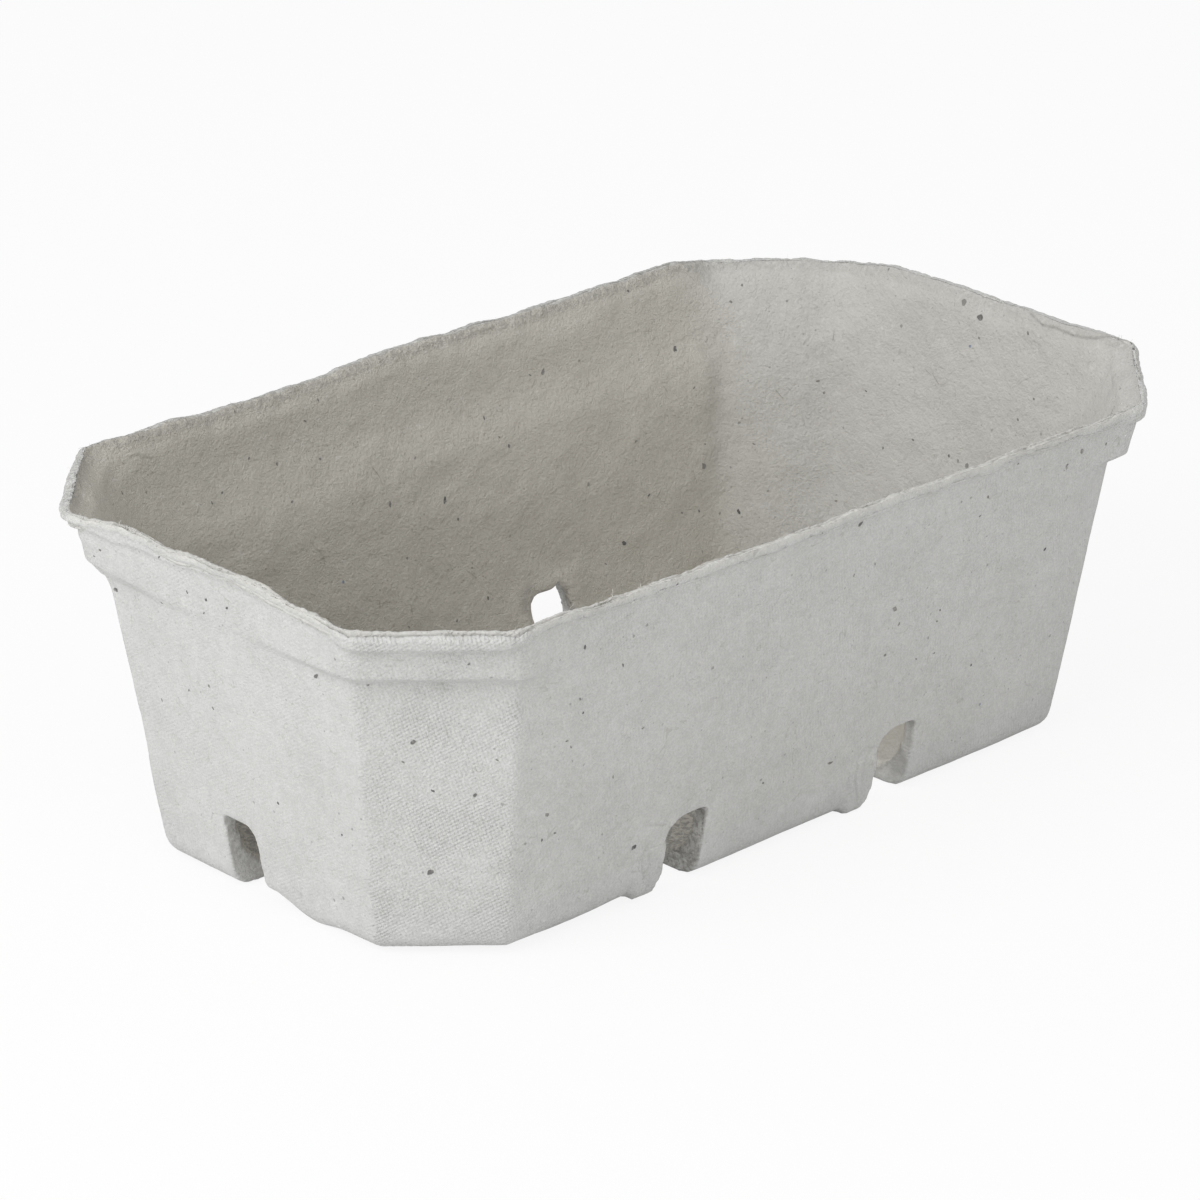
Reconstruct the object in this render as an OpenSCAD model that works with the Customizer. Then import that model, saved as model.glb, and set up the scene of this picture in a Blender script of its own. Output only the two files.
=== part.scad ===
// Moulded pulp punnet: one tub with cut corners, a stepped collar, a rolled lip and six vents at the heel.
// The base stands on z = 0, the long sides face -Y and +Y.

/* [Overall] */
// Length over the rim
rim_l = 190; // [160:1:230]
// Width over the rim
rim_w = 111; // [95:1:140]
// Height from the base to the rim
height = 65; // [50:0.5:80]

/* [Corners] */
// Leg of the cut corner at the rim
rim_cut = 19.5; // [14:0.5:24]
// Leg of the cut corner at the top of the wall, under the ledge
wall_cut = 19; // [14:0.5:24]
// Leg of the cut corner at the base
base_cut = 15.5; // [12:0.5:20]
// Outside radius of the upright edges
edge_r = 2.6; // [1:0.1:5]
// Outside radius of the lip's corners, seen from above
rim_r = 8; // [4:0.5:12]

/* [Wall and base] */
// Thickness of the wall
wall_t = 2.4; // [1.6:0.1:3.2]
// Thickness of the base
base_t = 2.4; // [1.6:0.1:3.2]
// How far the foot of the wall stands in from the rim
base_inset = 13.2; // [9:0.1:16]
// Outside radius between the wall and the base
heel_r = 4.5; // [3:0.5:6]
// Inside radius between the wall and the base
inner_heel_r = 6; // [4:0.5:9]

/* [Collar and lip] */
// Height of the collar, from the rim down to the outer edge of the ledge
collar_h = 10.4; // [8:0.2:14]
// How far the collar stands in from the lip at its top
collar_inset = 1.8; // [0.6:0.1:2.4]
// How much the collar tapers in from its top to its foot
collar_taper = 1; // [0.4:0.1:2]
// Depth of the ledge beside the cut corners
corner_ledge = 2.3; // [1.2:0.1:3.4]
// Depth of the ledge at the middle of a side
side_ledge = 0.4; // [0.2:0.1:1.2]
// Fall of the ledge from its outer edge to the wall
ledge_drop = 1.8; // [0.8:0.1:3]
// Distance along a short end over which the ledge fades
ledge_fade = 24; // [14:1:34]
// Distance along a long side over which the ledge fades
long_fade = 8; // [4:1:30]
// Height of the lip
lip_h = 3.2; // [2:0.1:5]
// Thickness of the lip's top edge
lip_t = 1.4; // [1:0.1:2.4]

/* [Vents] */
// Width of a vent in the near side
vent_w = 9; // [5:0.2:12]
// Width of a vent in the far side
far_vent_w = 10.8; // [5:0.2:12]
// Width of a vent in a short end
end_vent_w = 8.2; // [5:0.2:12]
// Height of a vent above the base
vent_h = 14.6; // [9:0.2:18]
// How far a long side's vent widens at its foot, on the side of the squared foot
vent_flare = 1.9; // [0.4:0.1:3]
// Height over which it widens
vent_flare_h = 4; // [2:0.2:6]
// Reach of a vent under the base, from the foot of the wall
vent_reach = 10; // [7:0.5:15]
// Radius of a vent's tight top corners
vent_r = 1.2; // [0.6:0.2:2]
// Radius of the wide top corner that the near vents have on one side
vent_wide_r = 4.4; // [2:0.2:5]
// Distance between the two vents of a long side
vent_pitch = 51.6; // [36:0.2:70]
// How far the pair of vents sits off the middle of the near side
side_vent_shift = 2; // [0:0.1:4]
// How far the pair of vents sits off the middle of the far side
far_vent_shift = 2.9; // [0:0.1:4]
// How far the vent of a short end sits off the middle
end_vent_shift = 4.6; // [0:0.1:8]
// How far the turned-in edge of a vent stands up from the wall
edge_rise = 1.2; // [0.4:0.1:2]
// Width of the turned-in edge round a vent
edge_w = 1.8; // [1.2:0.1:4]

/* [Feet beside the vents] */
// Width of the foot at one side of each vent in a long side
foot_w = 6; // [3:0.5:9]
// Height of the foot
foot_h = 11.4; // [8:0.2:16]
// How far the foot stands out from the wall
foot_rise = 0.5; // [0.2:0.1:1]
// Radius of the foot's toe
foot_toe = 0.8; // [0.4:0.1:1.6]

/* [Hidden] */
pulp = [0.8, 0.8, 0.77];
// Points on each upright edge, and between edges along a long side, a short end and a cut corner
arc_steps = 3;
long_steps = 12;
end_steps = 6;
cut_steps = 2;
// Steps round the heel, up the wall and across the ledge
heel_steps = 4;
wall_steps = 4;
ledge_steps = 3;
smallest_r = 0.6;
overlap = 1;
// The lip's rounded top edge, the lean of its face and half the height of the step under it
lip_bevel = 0.6;
lip_lean = 0.3;
lip_step = 0.5;
// The inner ledge stands above the outer one by these shares of the wall's thickness, at its foot and its top
low_share = 0.55;
high_share = 0.85;
// A straight cut across a heel meets the wall and the floor at this share of its radius
heel_share = 0.55;
side_steps = [end_steps, cut_steps, long_steps, cut_steps, end_steps, cut_steps, long_steps, cut_steps];
// A cut corner grows shorter by this share of the distance that its ring is moved in
cut_share = 2 - sqrt(2);
collar_z = height - collar_h;
ledge_z = collar_z - ledge_drop;
collar_foot = collar_inset + collar_taper;
corner_inset = collar_foot + corner_ledge;
side_inset = collar_foot + side_ledge;
// Lean of the wall, as mm of inset for each mm of height, beside the corners and at the middle of a side
corner_lean = (base_inset - corner_inset) / ledge_z;
side_lean = (base_inset - side_inset) / ledge_z;
lean_angle = atan(corner_lean);
heel_turn = 90 - lean_angle;
inner_ledge_z = ledge_z + wall_t * low_share;
inner_collar_z = collar_z + wall_t * high_share;
// Each vent: the way its side faces, counted from -Y, the half size of the tub there, its place along the side,
// its width and the radii of its left and right top corners
VENTS = [
    [0, rim_w / 2, -vent_pitch / 2 - side_vent_shift, vent_w, vent_wide_r, vent_r],
    [0, rim_w / 2, vent_pitch / 2 - side_vent_shift, vent_w, vent_wide_r, vent_r],
    [180, rim_w / 2, -vent_pitch / 2 + far_vent_shift, far_vent_w, vent_r, vent_r],
    [180, rim_w / 2, vent_pitch / 2 + far_vent_shift, far_vent_w, vent_r, vent_r],
    [90, rim_l / 2, -end_vent_shift, end_vent_w, vent_r, 2 * vent_r],
    [270, rim_l / 2, -end_vent_shift, end_vent_w, vent_r, 2 * vent_r],
];

function ease(x) = let(t = min(max(x, 0), 1)) t * t * (3 - 2 * t);
function blend(from, to, share) = from + (to - from) * share;
function heading(angle) = [cos(angle), sin(angle)];

// The eight corners of a ring, from the near end of the +X side and anticlockwise
function ring_corners(a, b, c) = [
    [a, c - b], [a, b - c], [a - c, b], [c - a, b],
    [-a, b - c], [-a, c - b], [c - a, -b], [a - c, -b]
];

// One rounded corner of a ring
function rounded(corner, turn, r) =
    let(tangent = r * tan(22.5))
    let(middle = corner - heading(turn + 45) * tangent - heading(turn - 45) * r)
    [for (k = [0:arc_steps]) middle + heading(turn - 45 + 45 * k / arc_steps) * r];

// The points between two rounded corners, closer near the corners, moved out by swell once the ledge has faded
function along(from, to, steps, out, swell, fade) = [
    for (k = [1:steps - 1])
        let(share = (1 - cos(180 * k / steps)) / 2)
        let(distance = norm(to - from) * min(share, 1 - share))
        blend(from, to, share) + out * swell * ease(distance / fade)
];

// A ring at height z: inset, cut and corner radius as on the outside beside the corners, then moved in by depth
// all round
function ring(z, inset, cut, depth, swell, corner_r = edge_r) =
    let(a = rim_l / 2 - inset - depth)
    let(b = rim_w / 2 - inset - depth)
    let(c = cut - cut_share * depth)
    let(r = max(corner_r - depth, smallest_r))
    let(corners = ring_corners(a, b, c))
    let(arcs = [for (i = [0:7]) rounded(corners[i], 45 * i, r)])
    [
        for (i = [0:7])
            let(side = along(arcs[i][arc_steps], arcs[(i + 1) % 8][0], side_steps[i], heading(45 * i),
                i % 2 == 0 ? swell : 0, i % 4 == 0 ? ledge_fade : long_fade))
            for (point = concat(arcs[i], side)) [point[0], point[1], z]
    ];

// Rings on the wall follow its lean, up to the foot of the ledge
function wall_ring(z, depth, level) =
    let(share = level / ledge_z)
    ring(z, blend(base_inset, corner_inset, share), blend(base_cut, wall_cut, share), depth,
        (side_lean - corner_lean) * level);

// Rings round a heel of radius r between the wall and a floor at height floor_z
function heel_ring(r, floor_z, depth, turn) =
    let(z = floor_z + r * (1 - cos(turn)))
    let(run = r * tan(heel_turn / 2) - r * sin(turn) + corner_lean * (z - floor_z))
    wall_ring(z, depth + run, z);

// Rings across the ledge, from the wall at share 0 to the collar at share 1
function ledge_ring(low_z, high_z, depth, share) =
    ring(blend(low_z, high_z, share), blend(corner_inset, collar_foot, share), blend(wall_cut, rim_cut, share),
        depth, (corner_inset - side_inset) * (1 - share));

// Rings on the collar and the lip, whose corners grow rounder towards the rim
function collar_ring(z, inset, depth) =
    let(share = (z - collar_z) / collar_h)
    ring(z, inset, rim_cut, depth, 0, blend(edge_r, rim_r, share));

function outer_rings() = concat(
    [for (k = [0:heel_steps]) heel_ring(heel_r, 0, 0, heel_turn * k / heel_steps)],
    [for (k = [1:wall_steps]) let(z = blend(heel_r, ledge_z, k / wall_steps)) wall_ring(z, 0, z)],
    [for (k = [1:ledge_steps]) ledge_ring(ledge_z, collar_z, 0, k / ledge_steps)],
    [
        collar_ring(height - lip_h - lip_step, collar_inset, 0),
        collar_ring(height - lip_h + lip_step, lip_lean, 0),
        collar_ring(height - lip_bevel, 0, 0),
        collar_ring(height, lip_bevel, 0)
    ]
);

function inner_rings() = concat(
    [
        collar_ring(height, lip_bevel, lip_t),
        collar_ring(height - lip_bevel, 0, lip_t + 2 * lip_bevel),
        collar_ring(height - lip_h, collar_inset, wall_t)
    ],
    [for (k = [ledge_steps:-1:0]) ledge_ring(inner_ledge_z, inner_collar_z, wall_t, k / ledge_steps)],
    [
        for (k = [wall_steps - 1:-1:1])
            let(z = blend(base_t + inner_heel_r, inner_ledge_z, k / wall_steps))
            wall_ring(z, wall_t, min(z, ledge_z))
    ],
    [for (k = [heel_steps:-1:0]) heel_ring(inner_heel_r, base_t, wall_t, heel_turn * k / heel_steps)]
);

// Skins the rings in order and closes the first and the last
module loft(rings) {
    size = len(rings[0]);
    last = (len(rings) - 1) * size;
    skin = [
        for (k = [0:len(rings) - 2])
            for (i = [0:size - 1])
                let(a = k * size + i, b = k * size + (i + 1) % size)
                each [[a, a + size, b + size], [a, b + size, b]]
    ];
    polyhedron(
        points = [for (loop = rings) each loop],
        faces = concat([[for (i = [0:size - 1]) i]], skin, [[for (i = [size - 1:-1:0]) last + i]])
    );
}

module tub() {
    loft(concat(outer_rings(), inner_rings()));
}

// Puts its children at a vent: x along the side, y inwards from the rim, z up
module at_vent(vent) {
    rotate(vent[0])
        translate([vent[2], -vent[1], 0])
            children();
}

// Extrudes an outline drawn as [y, z] along x
module along_side(from, to) {
    translate([from, 0, 0])
        rotate([90, 0, 90])
            linear_extrude(height = to - from)
                children();
}

// How far the outside of the wall stands in from the rim at height z, at the middle of a side
function wall_y(z) = base_inset - side_lean * z;

// The opening of a vent, from below the base up the wall, with rounded top corners
module vent_cut(width, left_r, right_r) {
    inner_end = base_inset + vent_reach;
    translate([0, inner_end, 0])
        rotate([90, 0, 0])
            linear_extrude(height = inner_end + overlap)
                difference() {
                    translate([-width / 2, -overlap])
                        square([width, vent_h + overlap]);
                    translate([-width / 2, vent_h])
                        rotate(270)
                            corner_waste(left_r);
                    translate([width / 2, vent_h])
                        rotate(180)
                            corner_waste(right_r);
                }
}

// The wedge by which a vent widens at its foot
module vent_flare_cut(width) {
    inner_end = base_inset + vent_reach;
    slope = vent_flare / vent_flare_h;
    translate([-width / 2, inner_end, 0])
        rotate([90, 0, 0])
            linear_extrude(height = inner_end + overlap)
                polygon([
                    [0, vent_flare_h],
                    [-vent_flare - slope * overlap, -overlap],
                    [overlap, -overlap],
                    [overlap, vent_flare_h]
                ]);
}

// What a rounded corner of radius r leaves of a square one
module corner_waste(r) {
    difference() {
        translate([-overlap, -overlap])
            square(r + overlap);
        translate([r, r])
            circle(r, $fn = 32);
    }
}

// The turned-in edge round a vent: a thicker strip of the wall, the heel and the base
module vent_edge(width) {
    half = width / 2 + edge_w;
    top = vent_h + edge_w;
    inner_end = base_inset + vent_reach + edge_w;
    middle = wall_t / 2;
    rise = wall_t + edge_rise;
    floor_z = base_t + edge_rise;
    along_side(-half, half)
        polygon([
            [wall_y(top) + middle, top],
            [wall_y(heel_r) + middle, heel_r],
            [wall_y(0) + heel_r, base_t / 2],
            [inner_end, base_t / 2],
            [inner_end, floor_z],
            [wall_y(0) + rise + inner_heel_r * heel_share, floor_z],
            [wall_y(floor_z) + rise, floor_z + inner_heel_r * heel_share],
            [wall_y(top - edge_w / 2) + rise, top - edge_w / 2]
        ]);
}

// The squared foot at one side of a vent, where the heel stays sharp
module vent_foot(width) {
    along_side(-width / 2 - foot_w, -width / 2 + overlap)
        polygon([
            [wall_y(foot_h) + wall_t / 2, foot_h],
            [wall_y(foot_h - 2 * foot_rise) - foot_rise, foot_h - 2 * foot_rise],
            [wall_y(foot_toe) - foot_rise, foot_toe],
            [wall_y(0) - foot_rise + foot_toe, 0],
            [wall_y(0) + heel_r + wall_t, 0],
            [wall_y(0) + heel_r + wall_t, base_t / 2],
            [wall_y(heel_r) + wall_t / 2, heel_r]
        ]);
}

module punnet() {
    color(pulp)
        difference() {
            union() {
                tub();
                for (vent = VENTS)
                    at_vent(vent) {
                        vent_edge(vent[3]);
                        if (vent[1] == rim_w / 2)
                            vent_foot(vent[3]);
                    }
            }
            for (vent = VENTS)
                at_vent(vent) {
                    vent_cut(vent[3], vent[4], vent[5]);
                    if (vent[1] == rim_w / 2)
                        vent_flare_cut(vent[3]);
                }
        }
}

punnet();
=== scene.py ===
import math
import bmesh
import bpy
import numpy as np
from mathutils import Matrix, Vector, noise
from mathutils.bvhtree import BVHTree


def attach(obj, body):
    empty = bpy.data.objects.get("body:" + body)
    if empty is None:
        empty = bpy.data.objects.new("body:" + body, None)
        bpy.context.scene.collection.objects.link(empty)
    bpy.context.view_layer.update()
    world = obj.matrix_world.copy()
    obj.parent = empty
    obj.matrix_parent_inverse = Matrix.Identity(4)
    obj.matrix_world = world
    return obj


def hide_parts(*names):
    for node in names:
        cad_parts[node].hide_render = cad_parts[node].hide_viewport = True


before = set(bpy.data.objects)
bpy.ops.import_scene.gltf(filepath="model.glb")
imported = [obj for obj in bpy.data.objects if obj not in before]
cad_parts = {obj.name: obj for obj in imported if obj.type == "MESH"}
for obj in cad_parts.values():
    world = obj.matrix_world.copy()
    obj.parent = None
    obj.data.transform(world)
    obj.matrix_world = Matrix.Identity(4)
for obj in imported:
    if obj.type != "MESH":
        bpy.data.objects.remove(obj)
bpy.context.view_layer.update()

# THE VIEW
# A long lens looks down over the near cut corner from the left, as in the photograph, with the whole
# punnet in the frame.
MM = 0.001
IMAGE_PX = 1200
LENS_PX = 5046.8
SENSOR_MM = 36
AZIMUTH = math.radians(-43.79)
ELEVATION = math.radians(22.58)
LOOK_AT = Vector((157.45, 169.6, -64.43)) * MM
STAND_OFF = 1138.1 * MM

back = Vector((math.sin(AZIMUTH) * math.cos(ELEVATION), -math.cos(AZIMUTH) * math.cos(ELEVATION),
               math.sin(ELEVATION)))
right = (-back).cross(Vector((0, 0, 1))).normalized()
up = right.cross(-back)
eye = LOOK_AT + back * STAND_OFF
camera = bpy.data.objects.new("camera", bpy.data.cameras.new("camera"))
camera.data.sensor_width = SENSOR_MM
camera.data.lens = SENSOR_MM * LENS_PX / IMAGE_PX
camera.data.clip_start = 0.01
camera.matrix_world = Matrix((right, up, back)).transposed().to_4x4()
camera.location = eye
bpy.context.scene.collection.objects.link(camera)
bpy.context.scene.camera = camera


def sight(column, row):
    """The direction from the eye through a place in the 1200 px picture."""
    half = IMAGE_PX / 2
    return (right * (column - half) / LENS_PX + up * (half - row) / LENS_PX - back).normalized()


# THE TUB
# Wet pulp drawn through a screen mould in one stroke and dried: base, leaning walls, collar, lip and
# vents are one skin. Outside it is smooth and marked by the screen, inside it is felted and lumpy.
HALF_LENGTH, HALF_WIDTH, HEIGHT = 95.0, 55.5, 65.0
RIM_CUT, BASE_CUT = 19.5, 15.5
BASE_INSET, CORNER_INSET, LEDGE_Z = 13.2, 5.1, 52.8
VOXEL = 1.0 * MM
FINE_FROM_Z = 51.5
UNDERSIDE_Z = 1.5
SIDE_BLEND = 0.9
MOST_FACES = 190000
# The vents: x and y at the foot of the wall, half width, and whether they are in a long side
VENT_REACH, VENT_TOP = 9.0, 14.6
VENTS = [(-27.8, -42.3, 4.5, True), (23.8, -42.3, 4.5, True), (-28.7, 42.3, 5.4, True),
         (22.9, 42.3, 5.4, True), (-81.8, 4.6, 4.1, False), (81.8, -4.6, 4.1, False)]
# How much painted shade the pulp has inside each of them
VENT_PAINTED_SHADE = [0.9, 0.15, 0.5, 0.5, 0.45, 0.6]
JAMB_MARGIN = 0.35
# Where the rim's skin has come apart: how far inside its outer face the crack runs, how deep that is, and
# how far the outer half has settled
CRACK_IN, CRACK_DEPTH, SETTLED = 1.3, 0.9, 0.3

# Height of the rim where it was read off the photograph: x, y, mm above or below the moulded height.
# Each reading holds for a few mm round it
LIFT_SPREAD = 3.4
RIM_LIFT = [
    (-93, -36, -0.8), (-88, -41, -0.8), (-84, -46, -0.7), (-79, -50, -0.7), (-75, -54, -0.6),
    (-66, -54, -0.4), (-57, -54, -0.8), (-46, -54, -1), (-34, -54, -1.1), (-23, -54, -1.35),
    (-11, -54, -1.3), (1, -54, -1.15), (13, -54, -1.05), (25, -54, -1.15), (38, -54, -1.2),
    (51, -54, -1.3), (64, -54, -1.35), (74, -54, -0.9), (-93, -31, -0.8), (-93, -23, -0.4),
    (-93, -18, 0.2), (-93, -11, 0.8), (-93, 1, 0.6), (-93, 11, 0.3), (-93, 17, 1), (-93, 24, 0.6),
    (-93, 31, -0.6), (-93, 36, -0.4),
    (-80, 50, 0.55), (-74, 55, 0.75), (-62, 55, 0.75), (-58, 55, 1.15), (-48, 55, 0.45), (-38, 55, 0.25),
    (-26, 55, 0.25), (-15, 55, 0.75), (-9.5, 55, 1.45), (-3, 55, 1.35), (4, 55, 1.45), (7, 55, 1.25),
    (15, 55, 1.05), (24, 55, 0.65), (37, 55, 0.7), (48, 55, 0.85), (61, 55, 1.05), (69, 55, 0.85),
    (74, 55, -0.55), (78, 53, -1.05), (81, 50, -0.55), (85, 46, -0.15), (89, 42, -0.15), (93, 38, -0.55),
    (94, 35, -1.05), (94, 31, 0.05), (94, 25, 1.05), (94, 17, 1.45), (94, 10, 1.5), (94, 2, 1.55),
    (94, -5, 1.3), (94, -13, 1.25), (94, -20, 0.85), (94, -29, 1.35), (94, -36, 1.15), (88, -42, 0.05),
    (80, -50, -0.6),
]

# Creases pressed into the wet pulp and cracks in it, drawn over the picture: half width and depth in mm,
# how dark the painted shade in them is, then their places
CREASES = [
    (0.22, 0.22, 0.3, [(1030, 318), (1043, 329), (1055, 330), (1072, 339), (1094, 344), (1106, 342),
                       (1128, 348)]),
    (0.22, 0.15, 0.2, [(305, 540), (309, 546), (314, 550), (320, 560)]),
    (0.25, 0.15, 0.22, [(130, 460), (138, 457), (142, 459), (152, 461)]),
    (0.25, 0.15, 0.2, [(1111, 378), (1112, 386), (1108, 394)]),
    (0.2, 0.12, 0.16, [(646, 825), (652, 826), (658, 825), (664, 826)]),
    (0.2, 0.12, 0.14, [(868, 747), (873, 748), (878, 747)]),
    (0.3, 0.22, 0.12, [(647, 848), (643, 856), (642, 866), (644, 878)]),
    (0.35, 0.18, 0.08, [(654, 846), (650, 858), (650, 870)]),
    (0.3, 0.22, 0.12, [(863, 752), (858, 764), (856, 778), (858, 800)]),
    (0.35, 0.18, 0.08, [(870, 752), (865, 764), (863, 780)]),
    (0.25, 0.2, 0.12, [(558, 582), (566, 580), (577, 576)]),
    (1.1, 0.1, 0.4, [(529, 588), (526, 597), (525, 609), (528, 622)]),
]


def new_piece(shape, name):
    mesh = bpy.data.meshes.new(name)
    shape.to_mesh(mesh)
    shape.free()
    piece = bpy.data.objects.new(name, mesh)
    bpy.context.scene.collection.objects.link(piece)
    return piece


def settle(piece):
    """Gives the piece the mesh that its modifiers make, and removes them."""
    graph = bpy.context.evaluated_depsgraph_get()
    mesh = bpy.data.meshes.new_from_object(piece.evaluated_get(graph))
    mesh.name = piece.name
    piece.modifiers.clear()
    piece.data = mesh


def points_of(mesh, what="co"):
    values = np.empty(len(mesh.vertices) * 3)
    mesh.vertices.foreach_get(what, values)
    return values.reshape(-1, 3)


def ramp(values, low, high):
    share = np.clip((values - low) / (high - low), 0, 1)
    return share * share * (3 - 2 * share)


def grain(points, size, seed):
    """Smooth noise from -1 to 1 at each point, with lumps about size mm across."""
    shift = Vector((seed * 17.3, seed * 7.1, seed * 3.7))
    return np.array([noise.noise(Vector(point) / size + shift) for point in points])


def lift_at(places):
    """How far the rim stands above its moulded height, in mm, at each x, y."""
    known = np.array(RIM_LIFT)
    away = ((places[:, None, :2] - known[None, :, :2]) ** 2).sum(2)
    near = np.exp(-away / (2 * LIFT_SPREAD ** 2)) + 1e-9
    flat = np.column_stack([places[:, :2], 0 * places[:, 0]])
    return (near * known[:, 2]).sum(1) / near.sum(1) + 0.3 * grain(flat, 9, 29) + 0.22 * grain(flat, 4, 30)


SIDE_ANGLES = np.radians(np.arange(8) * 45)
OUTWARD = np.stack([np.cos(SIDE_ANGLES), np.sin(SIDE_ANGLES)], 1)


def side_reach(points, half_x, half_y, cut):
    """How far each point stands out past the planes of the eight sides, +X first and anticlockwise."""
    oblique = (half_x + half_y - cut) / math.sqrt(2)
    return points[:, :2] @ OUTWARD.T - np.stack([half_x, oblique, half_y, oblique] * 2, -1)


def wall_sides(points):
    """For each point, its nearest side, and how much of it belongs to the long, short and cut sides."""
    z = np.clip(points[:, 2], 0, LEDGE_Z) / LEDGE_Z
    inset = BASE_INSET + (CORNER_INSET - BASE_INSET) * z
    reach = side_reach(points, HALF_LENGTH - inset, HALF_WIDTH - inset, BASE_CUT + (RIM_CUT - BASE_CUT) * z)
    share = np.exp((reach - reach.max(1, keepdims=True)) / SIDE_BLEND)
    share /= share.sum(1, keepdims=True)
    return reach.argmax(1), share[:, 2] + share[:, 6], share[:, 0] + share[:, 4], share[:, 1::2].sum(1)


def line_distance(points, line):
    """Distance in mm from each point to a line through several places."""
    nearest = np.full(len(points), 1e9)
    for start, end in zip(line, line[1:]):
        along = end - start
        share = np.clip((points - start) @ along / (along @ along), 0, 1)
        nearest = np.minimum(nearest, np.linalg.norm(points - start - share[:, None] * along, axis=1))
    return nearest


def refine(piece, chosen):
    """Splits the edges whose two ends are chosen."""
    shape = bmesh.new()
    shape.from_mesh(piece.data)
    shape.verts.ensure_lookup_table()
    fine = [edge for edge in shape.edges if chosen[edge.verts[0].index] and chosen[edge.verts[1].index]]
    bmesh.ops.subdivide_edges(shape, edges=fine, cuts=1, use_grid_fill=True)
    shape.to_mesh(piece.data)
    shape.free()


def soften(piece, chosen, rounds):
    """Smooths the chosen points of a piece."""
    shape = bmesh.new()
    shape.from_mesh(piece.data)
    soft_verts = [vertex for vertex in shape.verts if chosen[vertex.index]]
    for _ in range(rounds):
        bmesh.ops.smooth_vert(shape, verts=soft_verts, factor=0.5, use_axis_x=True, use_axis_y=True,
                              use_axis_z=True)
    shape.to_mesh(piece.data)
    shape.free()


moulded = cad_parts["punnet"]
shape = bmesh.new()
shape.from_mesh(moulded.data)
bmesh.ops.remove_doubles(shape, verts=shape.verts, dist=0.005 * MM)
tub = new_piece(shape, "pulp_tub")
remesh = tub.modifiers.new("felt", "REMESH")
remesh.mode = "VOXEL"
remesh.voxel_size = VOXEL
settle(tub)


def faces_in(points, normals):
    """How much each point belongs to the felted inside, from 0 to 1."""
    outward = OUTWARD[wall_sides(points)[0]]
    facing = -(normals[:, :2] * outward).sum(1)
    return ramp(np.maximum(facing, normals[:, 2] * ramp(-points[:, 2], -9, -6)), -0.1, 0.4)


# The mould is crisp on the screened side only: pulp fills its corners on the felted one, most of all
# behind the ledge and at the left end
points = points_of(tub.data) / MM
soft = (faces_in(points, points_of(tub.data, "normal")) > 0.5) & (points[:, 2] < 61)
left_end = (points[:, 0] < -68) & (points[:, 1] > 25) & (points[:, 2] > 15)
soften(tub, soft, 16)
soften(tub, soft & ((points[:, 2] > 43) | left_end), 70)

# The collar, the lip, the vents and the creases need a finer skin than the walls
points = points_of(tub.data) / MM
fine = (points[:, 2] > FINE_FROM_Z) & (~soft | (points[:, 2] > 60))
for vent_x, vent_y, _, _ in VENTS:
    fine |= ((abs(points[:, 0] - vent_x) < VENT_REACH) & (abs(points[:, 1] - vent_y) < VENT_REACH)
             & (points[:, 2] < VENT_TOP + 3))
moulded_skin = BVHTree.FromObject(moulded, bpy.context.evaluated_depsgraph_get())
crease_lines = []
for width, depth, painted_darkness, places in CREASES:
    line = [moulded_skin.ray_cast(eye, sight(*place))[0] for place in places]
    line = np.array([list(place) for place in line if place]) / MM
    crease_lines.append((width, depth, painted_darkness, line))
    fine |= line_distance(points, line) < 2.5
refine(tub, fine)


def at_vent(points, vent, margin):
    """Which points lie within margin mm of a vent's opening."""
    vent_x, vent_y, half, on_side = vent
    away = abs(points[:, 0] - vent_x) if on_side else abs(points[:, 1] - vent_y)
    deep = abs(points[:, 1] - vent_y) if on_side else abs(points[:, 0] - vent_x)
    return (away < half + margin) & (deep < VENT_REACH + 3) & (points[:, 2] < VENT_TOP + margin)


points = points_of(tub.data) / MM
edge = points[:, 2] > 63.2
for vent in VENTS:
    edge |= at_vent(points, vent, 0.9) & ~at_vent(points, vent, -0.9)
for _, _, _, line in crease_lines:
    edge |= line_distance(points, line) < 1.3
refine(tub, edge)
mould_group = tub.vertex_groups.new(name="mould")
points = points_of(tub.data) / MM
crisp = (faces_in(points, points_of(tub.data, "normal")) < 0.5) | (points[:, 2] > 60.5)
mould_group.add(np.flatnonzero(crisp).tolist(), 1.0, "REPLACE")
wrap = tub.modifiers.new("mould", "SHRINKWRAP")
wrap.target = moulded
wrap.vertex_group = "mould"
settle(tub)
tub.vertex_groups.clear()
points = points_of(tub.data) / MM
felted = faces_in(points, points_of(tub.data, "normal")) > 0.4
soften(tub, felted & (points[:, 2] > 57) & (points[:, 2] < 64.3), 40)
points = points_of(tub.data) / MM

normals = points_of(tub.data, "normal")
side, on_long, on_short, on_cut = wall_sides(points)
inner = faces_in(points, normals)
outer = 1 - inner
x, y, z = points.T


def around(place_x, place_y, spread):
    """For each point of the tub, 1 at a place in the plan and fading to 0 over a few times spread mm."""
    return np.exp(-((x - place_x) ** 2 + (y - place_y) ** 2) / (2 * spread ** 2))


def bell(values, middle, spread):
    return np.exp(-((values - middle) / spread) ** 2)


def past_middle(plan_x, plan_y):
    """From 0 on the half of the tub that is nearer to the camera to 1 on the other half."""
    return ramp(plan_y + 0.38 * plan_x, -3, 3)


# Painted shade: the vents' cut faces are painted darker, and so is the floor, most of all in its left half
facing_out = (normals[:, :2] * OUTWARD[side]).sum(1)
painted_shade = inner * ramp(normals[:, 2], 0.4, 0.8) * (1 - ramp(z, 4, 9)) * (1 - 0.85 * ramp(x, -5, 15))
for vent, painted_darkness in zip(VENTS, VENT_PAINTED_SHADE):
    cut_face = at_vent(points, vent, JAMB_MARGIN) * (1 - ramp(facing_out, 0.45, 0.75))
    painted_shade = np.maximum(painted_shade, painted_darkness * cut_face)
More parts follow.
